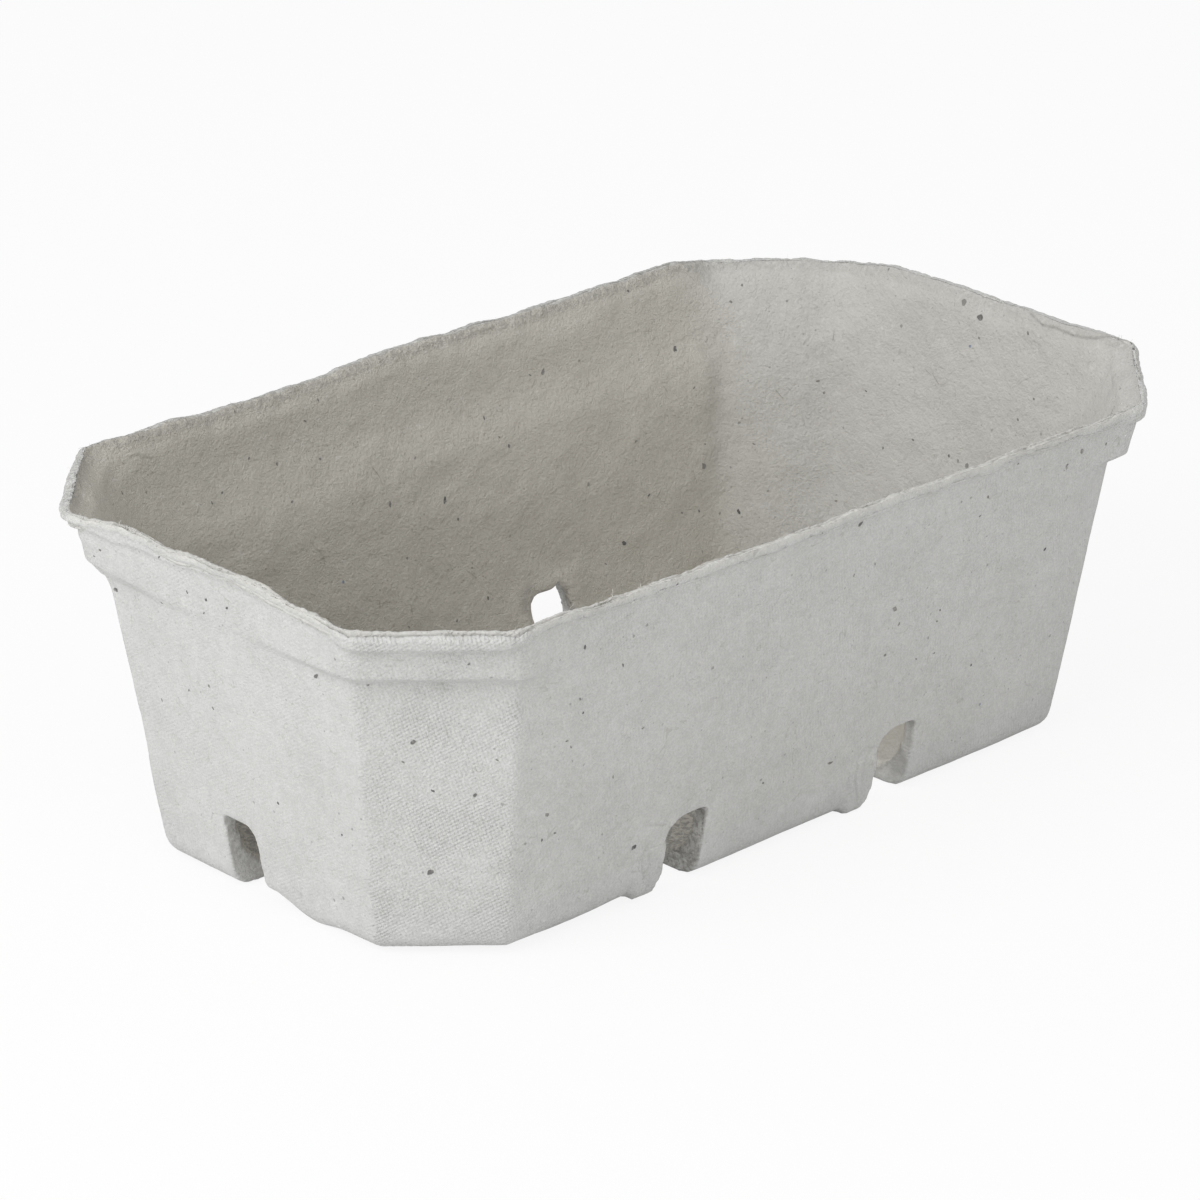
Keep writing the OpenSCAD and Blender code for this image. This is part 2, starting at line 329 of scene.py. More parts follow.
# On the far half the rim's top is painted with shade so that it is no lighter than the wall below it, and
# so are the tops of the left and right cut sides, which the camera sees edge on
beyond = past_middle(x, y)
edge_on = on_cut * (x * y < 0)
painted_shade = np.maximum(painted_shade, beyond * ramp(z, 62.8, 64.2) * (0.2 + 0.3 * on_long + 0.2 * edge_on))

# The felted side is lumpy, the screened side only a little uneven
felt = (0.42 * grain(points * (1, 1, 1.4), 12, 1) + 0.26 * grain(points * (1, 1, 1.2), 5.5, 2)
        + 0.08 * grain(points, 2.4, 3))
screened = 0.2 * grain(points, 24, 4) + 0.07 * grain(points, 7, 5) + 0.03 * grain(points, 2, 11)
moved = points + normals * (inner * felt + outer * screened)[:, None]

# On the felted side of the long walls the ledge is a shallow swelling
swelling = 1.9 * (1 - ramp(z, 44, 55)) * ramp(z, 12, 42) * on_long * inner
moved += normals * (1, 1, 0) * swelling[:, None]

# The collar, the step under the lip and the lip itself wander up and down round the tub
flat = points * (1, 1, 0)
wander = 0.5 * grain(flat, 15, 6) + 0.3 * grain(flat, 6, 7)
moved[:, 2] += wander * ramp(z, 49, 54) * (1 - ramp(z, 60, 61.2))
moved[:, 2] += 1.8 * around(-93, 38, 7) * outer * ramp(z, 52.9, 54.4) * (1 - ramp(z, 57, 61))
lip_wander = 0.5 * grain(flat, 12, 12) + 0.25 * grain(flat, 4.5, 13)
at_lip = ramp(z, 60.2, 61.4) * (1 - ramp(z, 62.4, 63.8))
fading = on_short * (x < 0) * (1 - ramp(y, 0, 34))
left_corner = around(-93, 37, 5)
lip_rise = lip_wander + 1.3 * on_long - 0.3 * on_cut + 1.0 * fading + 2.6 * left_corner
moved[:, 2] += lip_rise * at_lip * outer
# The lip stands out less on the long and short sides than on the cut ones, and most at the left corner
lip_face = ramp(z, 61.2, 62.2) * outer
far_left = around(-88, 42, 7)
pull = 1.15 * on_long + 0.4 * on_short * (x > 0) + (1.3 + 0.1 * fading) * on_short * (x < 0)
pull = pull * (1 - 0.3 * on_short * ramp(z, 63.4, 64.6)) * (1 - far_left) - 0.6 * far_left
moved -= normals * (1, 1, 0) * (pull * lip_face)[:, None]
# At the near right corner the collar stands out as far as the lip
push = 1.4 * around(80, -51, 5) * outer
moved[:, :2] += OUTWARD[side] * (push * ramp(z, 52.6, 53.6) * (1 - ramp(z, 60.8, 61.6)))[:, None]

# The upper part of the wall at the left corner is drawn in
drawn_in = 0.9 * around(-86, 38, 9) * ramp(z, 12, 25) * (1 - ramp(z, 50, 54))
moved[:, :2] -= OUTWARD[side] * drawn_in[:, None]

# The rim follows the photograph. On the near cut side, and in a few places on the near short one, its
# skin has come apart: the outer half has settled and a crack runs beside it
lift = lift_at(points)
moved[:, 2] += (lift - 0.4) * ramp(z, 55, 64)
moved += normals * (0.2 * grain(points, 6, 10) * ramp(z, 60, 62))[:, None]
moved += (normals * (0.16 * grain(points, 1.7, 8) + 0.1 * grain(points, 0.8, 18))[:, None]
          * ramp(z, 62.8, 64.2)[:, None])
depth_in = -side_reach(points, HALF_LENGTH, HALF_WIDTH, RIM_CUT).max(1)
apart = (on_cut * (x < 0) * (y < 0) + 0.6 * on_short * (x < 0) * ramp(grain(flat, 9, 15), 0.0, 0.3))
apart *= ramp(z, 62.8, 64.2)
moved[:, 2] -= apart * SETTLED * (1 - ramp(depth_in, 1.2, 1.4))
moved[:, 2] -= apart * CRACK_DEPTH * bell(depth_in, CRACK_IN, 0.2)
# The rim is thinner on the left and right cut sides
thinner = 1.1 * edge_on * ramp(z, 61.8, 64.2) * np.maximum(inner, ramp(depth_in, 1.4, 2.0))
moved[:, :2] += OUTWARD[side] * thinner[:, None]

# Beside the near end vent and beside the left vent the heel is drawn up or down a little: x, y, how far
# that reaches and how high it goes
HEEL_LIFT = [(-79, -0.5, 3.2, 1.7), (-80, -11, 3, -0.8), (-37, -42, 7, 1.0), (-64, -40, 12, 0.7)]
for heel_x, heel_y, spread, heel_rise in HEEL_LIFT:
    moved[:, 2] += heel_rise * around(heel_x, heel_y, spread) * (1 - ramp(z, 1, 12))

# The far vent that is seen through leans at its right side
lean = bell(x, 28.3, 3.0) * (y > 30) * ramp(z, 3, 7) * (1 - ramp(z, 14.6, 17))
moved[:, 0] -= lean * (0.9 + 1.5 * ramp(z, 9, 14))
moved[:, 2] += 0.8 * bell(x, 26.5, 2.5) * (y > 30) * ramp(z, 10, 13) * (1 - ramp(z, 15, 19))

# Painted shade in dark lines: in the crack in the rim, in upright streaks on the vents' right hand cut
# faces, and in the creases
crease_shade = 0.3 * apart * bell(depth_in, CRACK_IN, 0.3)
streaks = ramp(grain(points * (1, 1, 0.35), 1.1, 19), -0.3, 0.3)
for vent in VENTS:
    facing_left = -normals[:, 0] if vent[3] else normals[:, 1]
    right_side = at_vent(points, vent, JAMB_MARGIN) * ramp(facing_left, 0.4, 0.8)
    crease_shade = np.maximum(crease_shade, 0.3 * right_side * streaks)
for width, depth, painted_darkness, line in crease_lines:
    bank = bell(line_distance(points, line), 0, width)
    moved -= normals * (depth * bank)[:, None]
    crease_shade = np.maximum(crease_shade, painted_darkness * bank)

moved[:, 2] = np.maximum(moved[:, 2], 0)
tub.data.vertices.foreach_set("co", (moved * MM).ravel())
# The skin is torn open to paler pulp on the near rim. A patch of the floor behind the right vent is painted
# with the same pale colour: painted light
torn_and_painted_light = outer * ramp(z + 0.3 * grain(points, 2, 14) - 0.1 * on_long, 64.0, 64.6)
torn_and_painted_light *= (1 - np.maximum(beyond, edge_on)) * (1 - apart * (1 - ramp(depth_in, 1.2, 1.5)))
torn_and_painted_light = np.maximum(torn_and_painted_light, 0.8 * inner * (z < 6) * around(27, -36, 8))


def mark(piece, name, values):
    """Keeps a value for each point of a piece, which its material reads."""
    attribute = piece.data.attributes.new(name, "FLOAT", "POINT")
    attribute.data.foreach_set("value", values)


def smooth(piece):
    for polygon in piece.data.polygons:
        polygon.use_smooth = True


mark(tub, "painted_crease_shade", crease_shade)
mark(tub, "felt", inner)
mark(tub, "torn_and_painted_light", torn_and_painted_light)
mark(tub, "painted_shade", painted_shade)
tub.data.update()
thin = tub.modifiers.new("thin", "DECIMATE")
thin.ratio = min(1.0, MOST_FACES / (2 * len(tub.data.polygons)))
settle(tub)
smooth(tub)

# The screen's marks run along each side and up it, and are deepest on the cut sides
centres = np.empty(len(tub.data.polygons) * 3)
tub.data.polygons.foreach_get("center", centres)
centres = centres.reshape(-1, 3) / MM
counts = np.empty(len(tub.data.polygons), int)
tub.data.polygons.foreach_get("loop_total", counts)
corners = np.empty(len(tub.data.loops), int)
tub.data.loops.foreach_get("vertex_index", corners)
loop_side = np.repeat(wall_sides(centres)[0], counts)
on_base = np.repeat(centres[:, 2] < UNDERSIDE_Z, counts)
tangents = np.stack([-OUTWARD[:, 1], OUTWARD[:, 0]], 1)
place = points_of(tub.data)[corners] / MM
run = np.where(on_base, place[:, 0], (place[:, :2] * tangents[loop_side]).sum(1))
rise = np.where(on_base, place[:, 1], place[:, 2])
depth = np.where(loop_side % 2 == 1, 1.0, np.where(loop_side % 4 == 0, 0.35, 0.6))
attribute = tub.data.attributes.new("screen_run", "FLOAT_VECTOR", "CORNER")
attribute.data.foreach_set("vector", np.stack([run, rise, depth], 1).ravel())


class Level:
    """A shader socket that Python's operators work on."""

    def __init__(self, finish, socket):
        self.finish, self.socket = finish, socket

    def step(self, operation, *terms):
        return self.finish.node("Math", {"operation": operation}, dict(enumerate(terms)))

    def __add__(self, other):
        return self.step("ADD", self, other)

    def __mul__(self, other):
        return self.step("MULTIPLY", self, other)

    def __sub__(self, other):
        return self.step("SUBTRACT", self, other)

    def __rsub__(self, other):
        return self.step("SUBTRACT", other, self)

    __radd__, __rmul__ = __add__, __mul__

    def over(self, low, high):
        """From 0 at low to 1 at high."""
        return self.finish.node("MapRange", {"interpolation_type": "SMOOTHSTEP"},
                                {0: self, 1: low, 2: high, 3: 0.0, 4: 1.0})


class Finish:
    """A material under construction: its nodes, and the shader that they feed."""

    def __init__(self, name, roughness, gloss):
        self.material = bpy.data.materials.new(name)
        self.material.use_nodes = True
        self.tree = self.material.node_tree
        self.shader = self.tree.nodes["Principled BSDF"]
        self.shader.inputs["Roughness"].default_value = roughness
        self.shader.inputs["Specular IOR Level"].default_value = gloss

    def node(self, kind, settings=None, sockets=None, out=0):
        made = self.tree.nodes.new("ShaderNode" + kind)
        for name, value in (settings or {}).items():
            setattr(made, name, value)
        for name, value in (sockets or {}).items():
            if isinstance(value, Level):
                self.tree.links.new(value.socket, made.inputs[name])
            else:
                made.inputs[name].default_value = value
        return Level(self, made.outputs[out])

    def place(self):
        return self.node("TexCoord", out="Object")

    def attribute(self, name, out="Fac"):
        return self.node("Attribute", {"attribute_name": name}, out=out)

    def noise(self, size, seed, detail=2.0, twist=0.0):
        """Noise from 0 to 1 with lumps about size mm across."""
        shift = (0.05 * seed, 0.03 * seed, 0.02 * seed)
        where = self.node("VectorMath", {"operation": "ADD"}, {0: self.place(), 1: shift})
        return self.node("TexNoise", None, {"Vector": where, "Scale": 1000.0 / size, "Detail": detail,
                                            "Roughness": 0.6, "Distortion": twist}, out="Fac")

    def mix(self, share, first, second):
        return self.node("Mix", {"data_type": "RGBA"}, {0: share, 6: first, 7: second}, out=2)

    def wire(self, name, level):
        self.tree.links.new(level.socket, self.shader.inputs[name])

    def bump(self, height_mm):
        self.wire("Normal", self.node("Bump", None,
                                      {"Height": height_mm, "Distance": MM, "Strength": 1.0}))

    def specks(self, spacing, share, largest, seed):
        """Flecks in some cells of a grid, up to largest mm across. Gives their mask and a random value."""
        shift = self.node("VectorMath", {"operation": "ADD"}, {0: self.place(), 1: (seed, seed, seed)})
        wobble = self.node("TexNoise", None, {"Vector": shift, "Scale": 600.0 / largest}, out="Color")
        offset = self.node("VectorMath", {"operation": "SCALE"}, {0: wobble, "Scale": largest * MM})
        where = self.node("VectorMath", {"operation": "ADD"}, {0: shift, 1: offset})
        cells = {"Vector": where, "Scale": 1000.0 / spacing}
        distance = self.node("TexVoronoi", None, cells, out="Distance")
        colour = Level(self, distance.socket.node.outputs["Color"])
        chance = self.node("SeparateColor", None, {0: colour}, out=0)
        other = self.node("SeparateColor", None, {0: colour}, out=1)
        radius = (0.4 + 0.6 * other) * (largest / (2 * spacing))
        covered = (radius - distance).over(0.0, 0.08 * largest / spacing)
        return covered * chance.over(1 - share, 1.001 - share), other

    def threads(self, size, seed, width, broken):
        """Hair-fine fibres: short lengths of the contour lines of a twisted noise."""
        line = self.noise(size, seed, 1.5, twist=1.2) - 0.5
        line = 1 - line.step("ABSOLUTE", line).over(0.0, width)
        return line * self.noise(size * 0.6, seed + 0.5, 1.0).over(broken, broken + 0.08)


pulp = Finish("pulp", 0.93, 0.25)
OUTSIDE, OUTSIDE_DEEP = (0.655, 0.655, 0.645, 1), (0.515, 0.515, 0.503, 1)
INSIDE, INSIDE_DEEP = (0.57, 0.56, 0.535, 1), (0.50, 0.488, 0.46, 1)
INSIDE_WARM, INSIDE_WARM_DEEP = (0.56, 0.538, 0.49, 1), (0.485, 0.464, 0.415, 1)
# On the next line the first colour is pale torn pulp and also painted light, and the third is painted shade
PALE_TORN_AND_PAINTED_LIGHT, DARK, PAINTED_SHADE_COLOUR = (0.65, 0.64, 0.60, 1), (0.11, 0.107, 0.10, 1), (0.32, 0.31, 0.29, 1)
# The last colour on the next line is painted shade for creases and cracks
DARK_THREAD, PALE_THREAD, CREASE_SHADE_COLOUR = (0.27, 0.26, 0.23, 1), (0.72, 0.71, 0.68, 1), (0.16, 0.15, 0.14, 1)
# Specks in the pulp: mm between them, the share of places that have one, and the largest in mm
FINE_SPECKS, LARGE_SPECKS = (1.15, 0.5, 0.42), (2.5, 0.22, 0.7)
felt_side = pulp.attribute("felt")
run = pulp.attribute("screen_run", "Vector")
along = pulp.node("SeparateXYZ", None, {0: run}, out=0)
upward = pulp.node("SeparateXYZ", None, {0: run}, out=1)
depth = pulp.node("SeparateXYZ", None, {0: run}, out=2)
shade = (pulp.noise(16, 1.0, 3.0).over(0.3, 0.7) * 0.25 + pulp.noise(2.2, 2.0, 4.0).over(0.3, 0.7) * 0.3
         + (pulp.noise(0.42, 16.0, 2.0).over(0.34, 0.66) - 0.5) * (0.32 + 0.3 * depth) + 0.225)
along_tub = pulp.node("SeparateXYZ", None, {0: pulp.place()}, out=0)
# Inside, the felt is painted warmer everywhere but at the right end, as bounced light would tint it, and it
# is painted lighter towards the right end and darker towards the left: painted light and shade
painted_warmth = 1 - (along_tub + pulp.noise(20, 11.0, 2.0) * 0.016).over(0.068, 0.088)
tone_and_painted_light = shade + (along_tub.over(-0.08, 0.06) - 0.5) * 0.9
cool_felt = pulp.mix(shade, INSIDE_DEEP, INSIDE)
inside = pulp.mix(painted_warmth, cool_felt, pulp.mix(tone_and_painted_light, INSIDE_WARM_DEEP, INSIDE_WARM))
skin = pulp.mix(felt_side, pulp.mix(shade, OUTSIDE_DEEP, OUTSIDE), inside)
# Pale torn pulp on the near rim, and the same pale colour as painted light on a patch of the floor
skin = pulp.mix(pulp.attribute("torn_and_painted_light") * pulp.noise(1.2, 12.0, 3.0).over(0.25, 0.6), skin, PALE_TORN_AND_PAINTED_LIGHT)
# Painted shade on the vents' cut faces, on the floor and on the far rim, mottled
mottling = 0.15 + 0.85 * pulp.noise(0.9, 17.0, 4.0).over(0.42, 0.58)
skin = pulp.mix(pulp.attribute("painted_shade") * mottling, skin, PAINTED_SHADE_COLOUR)
skin = pulp.mix(pulp.threads(6.0, 3.0, 0.014, 0.54) * 0.3, skin, DARK_THREAD)
skin = pulp.mix(pulp.threads(4.0, 15.0, 0.02, 0.5) * 0.3, skin, PALE_THREAD)
fine_specks, fine_random = pulp.specks(*FINE_SPECKS, 3.0)
skin = pulp.mix(fine_specks * (0.06 + 0.34 * fine_random * fine_random), skin, DARK)
specks, random_speck = pulp.specks(*LARGE_SPECKS, 7.0)
skin = pulp.mix(specks * (0.1 + 0.4 * random_speck), skin, DARK)
# Painted shade in the creases, in the rim's crack and in streaks on the vents' cut faces
skin = pulp.mix(pulp.attribute("painted_crease_shade"), skin, CREASE_SHADE_COLOUR)
pulp.wire("Base Color", skin)

# Turns per mm of the two sets of wires, along the side and up it, and how deep their marks are in mm
WARP, WEFT = (1.49, 0.42), (0.82, -1.37)
WARP_MM, WEFT_MM = 0.056, 0.046
drift = pulp.noise(9, 5.0, 2.0) * 5.0
warp = (along * WARP[0] + upward * WARP[1]) * (2 * math.pi) + drift
weft = (along * WEFT[0] + upward * WEFT[1]) * (2 * math.pi) - drift
weave = (warp.step("SINE", warp) * WARP_MM + weft.step("SINE", weft) * WEFT_MM) * depth
weave = weave * (0.35 + 0.65 * pulp.noise(14, 6.0, 1.0).over(0.35, 0.65))
grit = pulp.noise(0.75, 8.0, 3.0) * 0.2 + pulp.noise(0.36, 18.0, 1.0) * 0.14
lumps = pulp.noise(2.6, 9.0, 2.5) * 0.45
cut_relief = pulp.attribute("painted_shade") * (lumps + grit)
pulp.bump((1 - felt_side) * (weave + grit) + felt_side * (lumps + grit * 1.3) + cut_relief)
tub.data.materials.clear()
tub.data.materials.append(pulp.material)
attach(tub, "root")
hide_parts("punnet")

# THE PALE_TORN_AND_PAINTED_LIGHT RIM
# Where the tub was trimmed from the mould's flash its skin has come apart in thin layers. Each is the
# same pulp, torn to a ragged edge, and stands up along the lip on its own.
RIM_SOFT_R, SOFT_R_STEPS = 8.0, 6
RIM_STEPS = 1500
LAYER_ROWS = 4
DARK_STREAK = (0.30, 0.29, 0.26, 1)


def rim_places(inward):
    """RIM_STEPS places spaced evenly round the rim, inward mm inside its outer face."""
    half_x, half_y = HALF_LENGTH - inward, HALF_WIDTH - inward
    cut = RIM_CUT - inward * (2 - math.sqrt(2))
    eight = []
    for sign_x, sign_y in ((1, 1), (-1, 1), (-1, -1), (1, -1)):
        pair = [(sign_x * half_x, sign_y * (half_y - cut)), (sign_x * (half_x - cut), sign_y * half_y)]
        eight += pair if sign_x * sign_y > 0 else pair[::-1]
    ring = bmesh.new()
    corners = [ring.verts.new((px, py, 0)) for px, py in eight]
    ring.faces.new(corners)
    bmesh.ops.bevel(ring, geom=ring.verts[:], affect="VERTICES", offset=RIM_SOFT_R * math.tan(math.pi / 8),
                    segments=SOFT_R_STEPS, profile=0.5, material=-1)
    ring.faces.ensure_lookup_table()
    outline = np.array([list(vertex.co)[:2] for vertex in ring.faces[0].verts])
    ring.free()
    outline = np.concatenate([outline, outline[:1]])
    length = np.concatenate([[0], np.cumsum(np.linalg.norm(np.diff(outline, axis=0), axis=1))])
    wanted = np.linspace(0, length[-1], RIM_STEPS, endpoint=False)
    return np.stack([np.interp(wanted, length, outline[:, axis]) for axis in (0, 1)], 1)


def ragged(places, size, seed):
    return grain(np.column_stack([places, 0 * places[:, 0]]), size, seed)


def torn_layer(thickness, inward, top, foot, seed):
    """One closed layer of pulp round the rim, between a ragged top edge and a ragged lower one."""
    shape = bmesh.new()
    bmesh.ops.create_grid(shape, x_segments=RIM_STEPS, y_segments=LAYER_ROWS, size=1)
    drift = [0.14 * ragged(rim, 6, seed + row) + 0.07 * ragged(rim, 1.3, seed + row + 9)
             for row in range(LAYER_ROWS + 1)]
    for vertex in shape.verts:
        step = round((vertex.co.x + 1) / 2 * RIM_STEPS) % RIM_STEPS
        row = round((vertex.co.y + 1) / 2 * LAYER_ROWS)
        level = foot[step] + (top[step] - foot[step]) * row / LAYER_ROWS
        spot = rim[step] - rim_outward[step] * (inward[step] - drift[row][step])
        vertex.co = Vector((spot[0], spot[1], level)) * MM
    bmesh.ops.remove_doubles(shape, verts=shape.verts, dist=0.001 * MM)
    bmesh.ops.solidify(shape, geom=shape.faces[:], thickness=thickness * MM)
    if shape.calc_volume(signed=True) < 0:
        bmesh.ops.reverse_faces(shape, faces=shape.faces)
    return shape


def gathered(shapes, name):
    """One piece made of several shapes."""
    whole = bmesh.new()
    for shape in shapes:
        part = bpy.data.meshes.new("part")
        shape.to_mesh(part)
        shape.free()
        whole.from_mesh(part)
        bpy.data.meshes.remove(part)
    return new_piece(whole, name)


rim = rim_places(0.0)
rim_along = np.roll(rim, -1, axis=0) - np.roll(rim, 1, axis=0)
rim_along /= np.linalg.norm(rim_along, axis=1, keepdims=True)
rim_outward = np.stack([rim_along[:, 1], -rim_along[:, 0]], 1)
_, rim_long, rim_short, rim_cut = wall_sides(np.column_stack([rim, np.full(RIM_STEPS, LEDGE_Z)]))
rim_top = HEIGHT + lift_at(rim) - 0.3
rim_edge_on = rim_cut * (rim[:, 0] * rim[:, 1] < 0)
rim_beyond = np.maximum(past_middle(rim[:, 0], rim[:, 1]), rim_edge_on)
# Each layer: its thickness, how far in it stands on a long, short and cut side, how far its top is below
# the rim there, how far its foot is, how much lower it lies on the far sides, how ragged its top is, and
# its seed
LAYERS = [
    (0.45, (1.6, 1.35, 1.5), (0.0, 0.0, 0.0), (2.0, 2.0, 2.0), 0.25, 0.3, 41),
    (0.32, (1.2, 1.6, 1.9), (0.35, 1.2, 1.2), (0.95, 2.2, 2.2), 0.7, 0.25, 21),
]


def by_side(values):
    return values[0] * rim_long + values[1] * rim_short + values[2] * rim_cut


layers, layer_tops = [], []
for thickness, inward, drop, foot_drop, lower, roughness, seed in LAYERS:
    jagged = (0.4 * ragged(rim, 4, seed) + 0.6 * ragged(rim, 1.5, seed + 1)
              + 0.5 * ragged(rim, 0.6, seed + 2))
    level = rim_top - lower * rim_beyond
    top = level - by_side(drop) + roughness * jagged
    foot = level - by_side(foot_drop) + 0.35 * ragged(rim, 4, seed + 3) + 0.15 * ragged(rim, 1, seed + 4)
    sunk = by_side(inward) * (1 - 0.55 * rim_edge_on) + 0.12 * ragged(rim, 7, seed + 5)
    layers.append(torn_layer(thickness, sunk, top, foot, seed + 6))
    layer_tops.append(np.column_stack([rim - rim_outward * sunk[:, None], top]))
rim_layers = gathered(layers, "rim_layers")
smooth(rim_layers)

torn_pulp = Finish("torn_pulp", 0.95, 0.2)
FRESH, FRESH_DEEP = (0.65, 0.643, 0.615, 1), (0.56, 0.552, 0.525, 1)
tone = torn_pulp.noise(1.0, 21.0, 4.0).over(0.3, 0.7)
skin = torn_pulp.mix(tone, FRESH_DEEP, FRESH)
skin = torn_pulp.mix(torn_pulp.threads(2.5, 23.0, 0.03, 0.5) * 0.35, skin, DARK_STREAK)
fine_specks, fine_random = torn_pulp.specks(*FINE_SPECKS, 13.0)
skin = torn_pulp.mix(fine_specks * (0.06 + 0.34 * fine_random), skin, DARK)
torn_pulp.wire("Base Color", skin)
torn_pulp.bump(torn_pulp.noise(0.6, 24.0, 4.0) * 0.25)
rim_layers.data.materials.append(torn_pulp.material)
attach(rim_layers, "root")

# LOOSE FIBRES
# Single paper fibres stand out of the torn rim, and others lie half sunk in the felted inside. Each is a
# bent thread that tapers to its tip.
FIBRE_SIDES, FIBRE_JOINTS = 3, 4
RIM_FIBRES, FELT_FIBRES = 1200, 1500
FIBRE_SUNK, FIBRE_PROUD = 0.04, 1.6
THINNEST, THICKEST = 0.028, 0.06
# The share of the rim's fibres that stand on its first layer, and on its second
LAYER_SHARES = (0.75, 0.25)
CELLULOSE, CELLULOSE_PALE, STAINED = (0.62, 0.605, 0.56, 1), (0.74, 0.73, 0.69, 1), (0.22, 0.20, 0.17, 1)
# Where the photograph shows a tuft of them on the rim
TUFTS = [(604, 602), (608, 600), (646, 584), (868, 511), (864, 514), (900, 492), (124, 524), (133, 527)]
TUFT_FIBRES = 16
TUFT_LONGER, TUFT_THICKER = 1.1, 1.4
# The places that fibres and flecks fall on are drawn by lot, the same ones every time
draw = np.random.default_rng(7)


def copies(template, count, name):
    """A new piece of count copies of a small shape, and its points: one row of them for each copy."""
    one = bpy.data.meshes.new("one")
    template.to_mesh(one)
    template.free()
    shape = bmesh.new()
    for _ in range(count):
        shape.from_mesh(one)
    bpy.data.meshes.remove(one)
    piece = new_piece(shape, name)
    return piece, points_of(piece.data).reshape(count, -1, 3)


thread = bmesh.new()
bmesh.ops.create_cone(thread, cap_ends=True, segments=FIBRE_SIDES, radius1=1, radius2=0.35, depth=1,
                      matrix=Matrix.Translation((0, 0, 0.5)))
lengthwise = [edge for edge in thread.edges if abs(edge.verts[0].co.z - edge.verts[1].co.z) > 0.5]
bmesh.ops.subdivide_edges(thread, edges=lengthwise, cuts=FIBRE_JOINTS - 1)


def unit(vectors):
    return vectors / np.linalg.norm(vectors, axis=-1, keepdims=True)


def bent(threads, roots, headings, leanings, lengths, radii, turns):
    """Threads laid along arcs: from each root along its heading, turning towards its leaning."""
    leanings = unit(leanings - (leanings * headings).sum(1, keepdims=True) * headings)
    across = np.cross(headings, leanings)
    angle = threads[:, :, 2] * turns[:, None]
    ahead, aside = np.sin(angle)[:, :, None], np.cos(angle)[:, :, None]
    spine = (ahead * headings[:, None] + (1 - aside) * leanings[:, None]) / turns[:, None, None]
    width = (threads[:, :, :1] * (aside * leanings[:, None] - ahead * headings[:, None])
             + threads[:, :, 1:2] * across[:, None])
    return roots[:, None] + spine * lengths[:, None, None] + width * radii[:, None, None]


def scattered(piece, weights, count):
    """Places on a piece's triangles in mm, and its normals there, drawn by area and by the weights."""
    size = len(piece.data.polygons)
    centre, normal, area = np.empty(size * 3), np.empty(size * 3), np.empty(size)
    piece.data.polygons.foreach_get("center", centre)
    piece.data.polygons.foreach_get("normal", normal)
    piece.data.polygons.foreach_get("area", area)
    centre, normal = centre.reshape(-1, 3) / MM, normal.reshape(-1, 3)
    share = area * weights(centre, normal)
    chosen = draw.choice(size, count, p=share / share.sum())
    return centre[chosen], normal[chosen]


def is_inside(centre, normal):
    """Which triangles belong to the felted inside."""
    nearest = wall_sides(centre)[0]
    return ((normal[:, :2] * OUTWARD[nearest]).sum(1) < -0.2) | ((normal[:, 2] > 0.7) & (centre[:, 2] < 9))


rim_sight = unit(layer_tops[0] * MM - np.array(eye))
tuft_steps = [int((rim_sight @ np.array(sight(*tuft))).argmax()) for tuft in TUFTS]
in_tufts = len(TUFTS) * TUFT_FIBRES
which = draw.choice(2, RIM_FIBRES, p=LAYER_SHARES)
which[:in_tufts] = 0
step = draw.integers(RIM_STEPS, size=RIM_FIBRES)
step[:in_tufts] = (np.repeat(tuft_steps, TUFT_FIBRES) + draw.integers(-4, 5, in_tufts)) % RIM_STEPS
rim_lengths = 0.3 + draw.gamma(2.0, 0.2, RIM_FIBRES)
rim_lengths[:in_tufts] *= TUFT_LONGER
rim_roots = np.array(layer_tops)[which, step] - (0, 0, 0.1)
way_round = draw.choice((-1, 1), RIM_FIBRES)[:, None]
sideways = np.column_stack([rim_along[step] * way_round, np.zeros(RIM_FIBRES)])
outwards = np.column_stack([rim_outward[step] * draw.normal(0.1, 0.5, RIM_FIBRES)[:, None],
                            draw.uniform(-0.2, 0.6, RIM_FIBRES)])
outwards[:in_tufts, 2] += 0.7
rim_headings = unit(sideways + outwards)
felt_roots, felt_normals = scattered(tub, is_inside, FELT_FIBRES)
felt_headings = unit(np.cross(felt_normals, draw.normal(size=(FELT_FIBRES, 3)))) + 0.14 * felt_normals
total = RIM_FIBRES + FELT_FIBRES
thicknesses = draw.uniform(THINNEST, THICKEST, total)
thicknesses[:in_tufts] *= TUFT_THICKER
fibres, threads = copies(thread, total, "fibres")
roots = np.concatenate([rim_roots, felt_roots - FIBRE_SUNK * felt_normals])
headings = np.concatenate([rim_headings, unit(felt_headings)])
leanings = np.concatenate([draw.normal(size=(RIM_FIBRES, 3)) - (0, 0, 0.6), -felt_normals])
lengths = np.concatenate([rim_lengths, 0.8 + draw.gamma(2.0, 0.6, FELT_FIBRES)])
turns = np.concatenate([draw.uniform(0.3, 2.0, RIM_FIBRES), draw.uniform(0.26, 0.34, FELT_FIBRES)])
placed = bent(threads, roots, headings, leanings, lengths, thicknesses, turns)
placed[:, :, 2] = np.clip(placed[:, :, 2], 0.2, HEIGHT + FIBRE_PROUD)
fibres.data.vertices.foreach_set("co", (placed * MM).ravel())
fibres.data.update()
smooth(fibres)
mark(fibres, "tint", np.repeat(draw.random(total), placed.shape[1]))
cellulose = Finish("fibres", 0.9, 0.2)
dark_one = cellulose.attribute("tint").over(0.84, 0.9)
skin = cellulose.mix(cellulose.noise(0.8, 31.0, 2.0), CELLULOSE, CELLULOSE_PALE)
cellulose.wire("Base Color", cellulose.mix(dark_one * 0.8, skin, STAINED))
fibres.data.materials.append(cellulose.material)
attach(fibres, "root")

